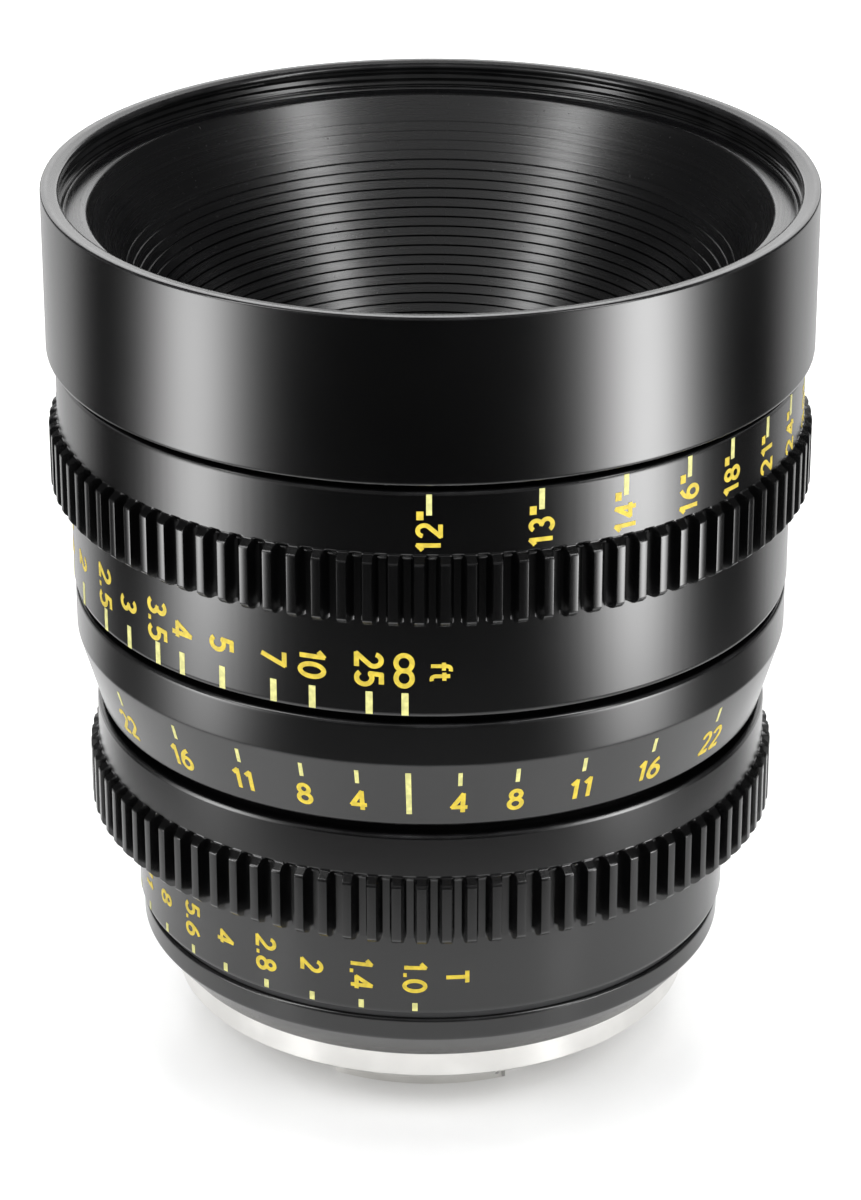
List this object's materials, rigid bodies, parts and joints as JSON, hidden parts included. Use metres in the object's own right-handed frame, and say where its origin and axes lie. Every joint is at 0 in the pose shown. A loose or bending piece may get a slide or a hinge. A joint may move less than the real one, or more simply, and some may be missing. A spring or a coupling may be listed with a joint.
{
  "type": "cinema prime lens",
  "caption": "Cinema prime lens with geared focus and iris rings, a deep grooved funnel behind the filter thread, a working iris and a chrome bayonet mount.",
  "frame": {"origin": "centre of the mount flange's seat, on the optical axis", "axes": "+Z along the optical axis towards the front, the index line and the scales face -Y"},
  "size_m": [0.08, 0.08, 0.0954],
  "materials": {
    "black_anodised": "satin black anodised",
    "matt_black": "matt black",
    "dark_anodised": "dark anodised",
    "steel": "plain",
    "brass": "plain",
    "slip_washer": "smooth",
    "glass": "coated",
    "blade": "blackened",
    "chrome": "satin chrome",
    "red_dot": "gloss"
  },
  "bodies": {
    "barrel": {"bayonet_mount": "chrome", "mount_screws": "steel", "rear_baffle": "matt_black", "index_dot": "red_dot", "rear_barrel": "black_anodised", "main_barrel": "black_anodised", "guide_sleeve": "steel", "barrel_screws": "steel", "front_barrel": "black_anodised", "front_screws": "steel", "front_funnel": "matt_black", "iris_washer_rear": "slip_washer", "iris_washer_front": "slip_washer", "focus_washer_rear": "slip_washer", "focus_washer_front": "slip_washer"},
    "focus": {"focus_ring": "black_anodised", "focus_cam": "brass"},
    "iris": {"iris_ring": "black_anodised", "iris_drive_pin": "steel"},
    "cell": {"lens_cell": "dark_anodised", "focus_drive_pin": "steel", "guide_key": "brass", "front_group_cell": "matt_black", "front_retainer": "matt_black", "glass_1": "glass", "glass_2": "glass", "glass_3": "glass", "glass_4": "glass", "glass_5": "glass", "glass_6": "glass", "glass_7": "glass", "glass_8": "glass", "glass_9": "glass", "front_spacer": "matt_black", "inner_spacer": "matt_black", "spacer_a": "matt_black", "spacer_b": "matt_black", "spacer_c": "matt_black", "rear_retainer": "matt_black", "iris_plate": "dark_anodised"},
    "iris_cam": {"iris_cam_ring": "brass"},
    "blade_01": {"iris_blade_01": "blade"},
    "blade_02": {"iris_blade_02": "blade"},
    "blade_03": {"iris_blade_03": "blade"},
    "blade_04": {"iris_blade_04": "blade"},
    "blade_05": {"iris_blade_05": "blade"},
    "blade_06": {"iris_blade_06": "blade"},
    "blade_07": {"iris_blade_07": "blade"},
    "blade_08": {"iris_blade_08": "blade"},
    "blade_09": {"iris_blade_09": "blade"},
    "blade_10": {"iris_blade_10": "blade"},
    "blade_11": {"iris_blade_11": "blade"}
  },
  "joints": [
    {"name": "focus_turn", "type": "hinge", "parent": "barrel", "child": "focus", "pos_m": [0, 0, 0.06], "axis": [0, 0, 1], "range_deg": [0, 180]},
    {"name": "cell_slide", "type": "slide", "parent": "barrel", "child": "cell", "axis": [0, 0, 1], "range_m": [0, 0.0011]},
    {"name": "iris_turn", "type": "hinge", "parent": "barrel", "child": "iris", "pos_m": [0, 0, 0.022], "axis": [0, 0, 1], "range_deg": [0, 78]},
    {"name": "iris_cam_turn", "type": "hinge", "parent": "cell", "child": "iris_cam", "pos_m": [0, 0, 0.027], "axis": [0, 0, 1], "range_deg": [0, 78.01]},
    {"name": "blade_01_swing", "type": "hinge", "parent": "cell", "child": "blade_01", "pos_m": [0.0198, 0, 0.0285], "axis": [0, 0, 1], "range_deg": [0, 30.91]},
    {"name": "blade_02_swing", "type": "hinge", "parent": "cell", "child": "blade_02", "pos_m": [0.01666, 0.0107, 0.0285], "axis": [0, 0, 1], "range_deg": [0, 30.91]},
    {"name": "blade_03_swing", "type": "hinge", "parent": "cell", "child": "blade_03", "pos_m": [0.00823, 0.01801, 0.0285], "axis": [0, 0, 1], "range_deg": [0, 30.91]},
    {"name": "blade_04_swing", "type": "hinge", "parent": "cell", "child": "blade_04", "pos_m": [-0.00282, 0.0196, 0.0285], "axis": [0, 0, 1], "range_deg": [0, 30.91]},
    {"name": "blade_05_swing", "type": "hinge", "parent": "cell", "child": "blade_05", "pos_m": [-0.01297, 0.01496, 0.0285], "axis": [0, 0, 1], "range_deg": [0, 30.91]},
    {"name": "blade_06_swing", "type": "hinge", "parent": "cell", "child": "blade_06", "pos_m": [-0.019, 0.00558, 0.0285], "axis": [0, 0, 1], "range_deg": [0, 30.91]},
    {"name": "blade_07_swing", "type": "hinge", "parent": "cell", "child": "blade_07", "pos_m": [-0.019, -0.00558, 0.0285], "axis": [0, 0, 1], "range_deg": [0, 30.91]},
    {"name": "blade_08_swing", "type": "hinge", "parent": "cell", "child": "blade_08", "pos_m": [-0.01297, -0.01496, 0.0285], "axis": [0, 0, 1], "range_deg": [0, 30.91]},
    {"name": "blade_09_swing", "type": "hinge", "parent": "cell", "child": "blade_09", "pos_m": [-0.00282, -0.0196, 0.0285], "axis": [0, 0, 1], "range_deg": [0, 30.91]},
    {"name": "blade_10_swing", "type": "hinge", "parent": "cell", "child": "blade_10", "pos_m": [0.00823, -0.01801, 0.0285], "axis": [0, 0, 1], "range_deg": [0, 30.91]},
    {"name": "blade_11_swing", "type": "hinge", "parent": "cell", "child": "blade_11", "pos_m": [0.01666, -0.0107, 0.0285], "axis": [0, 0, 1], "range_deg": [0, 30.91]}
  ],
  "couplings": [
    {"joint": "cell_slide", "follows": "focus_turn", "m_per_rad": 0.00035014},
    {"joint": "iris_cam_turn", "follows": "iris_turn", "ratio": 1},
    {"joint": "blade_01_swing", "follows": "iris_turn", "ratio": 0.39618},
    {"joint": "blade_02_swing", "follows": "iris_turn", "ratio": 0.39618},
    {"joint": "blade_03_swing", "follows": "iris_turn", "ratio": 0.39618},
    {"joint": "blade_04_swing", "follows": "iris_turn", "ratio": 0.39618},
    {"joint": "blade_05_swing", "follows": "iris_turn", "ratio": 0.39618},
    {"joint": "blade_06_swing", "follows": "iris_turn", "ratio": 0.39618},
    {"joint": "blade_07_swing", "follows": "iris_turn", "ratio": 0.39618},
    {"joint": "blade_08_swing", "follows": "iris_turn", "ratio": 0.39618},
    {"joint": "blade_09_swing", "follows": "iris_turn", "ratio": 0.39618},
    {"joint": "blade_10_swing", "follows": "iris_turn", "ratio": 0.39618},
    {"joint": "blade_11_swing", "follows": "iris_turn", "ratio": 0.39618}
  ]
}
